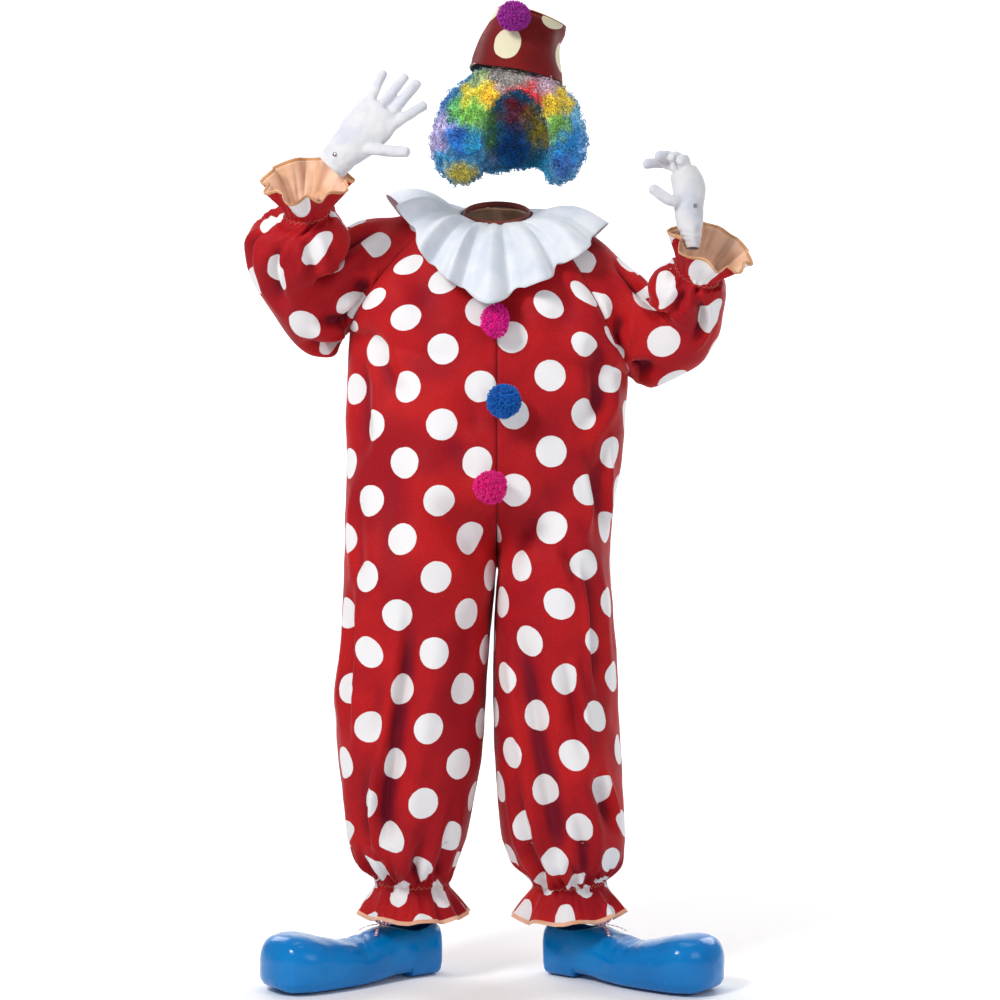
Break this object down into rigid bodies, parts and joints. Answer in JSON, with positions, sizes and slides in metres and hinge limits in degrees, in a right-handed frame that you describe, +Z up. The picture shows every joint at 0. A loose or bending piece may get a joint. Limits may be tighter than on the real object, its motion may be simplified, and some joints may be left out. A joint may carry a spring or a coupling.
{
  "type": "clown costume, a worn set of jumpsuit, hat, wig, gloves and shoes",
  "caption": "Loose polka-dot clown jumpsuit with pleated ruff and pom-poms, soft hat, curly wig, gloves and big shoes, hollow, in a waving pose.",
  "frame": {"origin": "between the shoulders at the base of the neck, where the wearer holds the jumpsuit up", "axes": "+Z up, +X to the wearer's left, the wearer faces -Y"},
  "size_m": [0.9757, 0.5082, 1.9462],
  "materials": {
    "dotted_cloth": "red plain-woven polyester and cotton with printed white dots, slight sheen",
    "peach_binding": "peach folded binding",
    "ruff_cloth": "pale blue-white plain weave, softly pleated",
    "neck_binding_cloth": "red-brown folded binding",
    "magenta_wool": "fluffy yarn",
    "blue_wool": "fluffy yarn",
    "pink_wool": "fluffy yarn",
    "purple_wool": "fluffy yarn",
    "wig_hair": "tight synthetic curls in rainbow patches",
    "glove_knit": "white stretch knit",
    "blue_vinyl": "glossy moulded vinyl",
    "lace": "pink and white flat lace"
  },
  "bodies": {
    "root": {"front_right": "dotted_cloth", "front_left": "dotted_cloth", "back_right": "dotted_cloth", "back_left": "dotted_cloth", "sleeve_right": "dotted_cloth", "sleeve_left": "dotted_cloth", "hat_side": "dotted_cloth", "hat_top": "dotted_cloth", "cuff_binding_right": "peach_binding", "cuff_binding_left": "peach_binding", "ankle_binding_right": "peach_binding", "ankle_binding_left": "peach_binding", "ruff": "ruff_cloth", "neck_binding": "neck_binding_cloth", "pompom_top": "magenta_wool", "pompom_middle": "blue_wool", "pompom_bottom": "pink_wool", "hat_pompom": "purple_wool", "wig": "wig_hair", "glove_right": "glove_knit", "glove_left": "glove_knit", "shoe_right": "blue_vinyl", "shoe_left": "blue_vinyl", "bow_right": "lace", "lace_end_right_1": "lace", "lace_end_right_2": "lace", "bow_left": "lace", "lace_end_left_1": "lace", "lace_end_left_2": "lace"}
  },
  "joints": []
}
